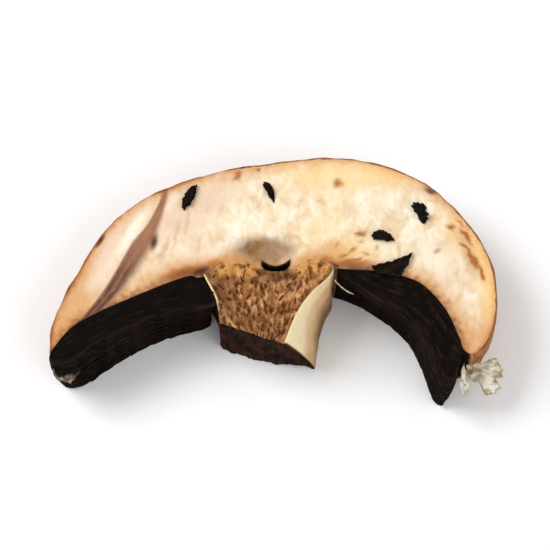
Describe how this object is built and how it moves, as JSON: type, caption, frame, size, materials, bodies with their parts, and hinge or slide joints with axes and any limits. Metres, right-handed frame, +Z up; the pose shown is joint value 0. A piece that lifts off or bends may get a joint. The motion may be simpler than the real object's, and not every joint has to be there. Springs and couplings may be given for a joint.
{
  "type": "button mushroom slice",
  "caption": "Thick cross-cut slice of a brown-capped button mushroom lying on its cut face, with domed cap, dark gill bundles, stem stub, torn veil and soil crumbs.",
  "frame": {"origin": "under the middle of the slice's bounding box, on the rear cut face that it rests on", "axes": "+X along the rim, left to right as seen from above; +Y to the crown of the cap; +Z up, through the slice's thickness"},
  "size_m": [0.0588, 0.0314, 0.0121],
  "materials": {
    "cap_flesh": "cream cap flesh, satin, with an orange-brown matte skin round the crown",
    "stem_flesh": "tan fibrous pitted cut flesh, matte, with a smooth pale side",
    "gills": "black-brown gill blades, dull satin",
    "veil": "pale papery torn veil, matte",
    "soil": "black crumbly peat, matte"
  },
  "bodies": {
    "root": {"cap_slice": "cap_flesh", "stem_stub": "stem_flesh", "gills_left": "gills", "gills_right": "gills", "veil_left": "veil", "veil_right_shred": "veil", "veil_right_flap": "veil", "veil_thread": "veil", "soil_crumb_left": "soil", "soil_crumb_middle": "soil", "soil_crumb_right": "soil", "soil_crumb_inner": "soil", "gill_flake": "gills"}
  },
  "joints": []
}
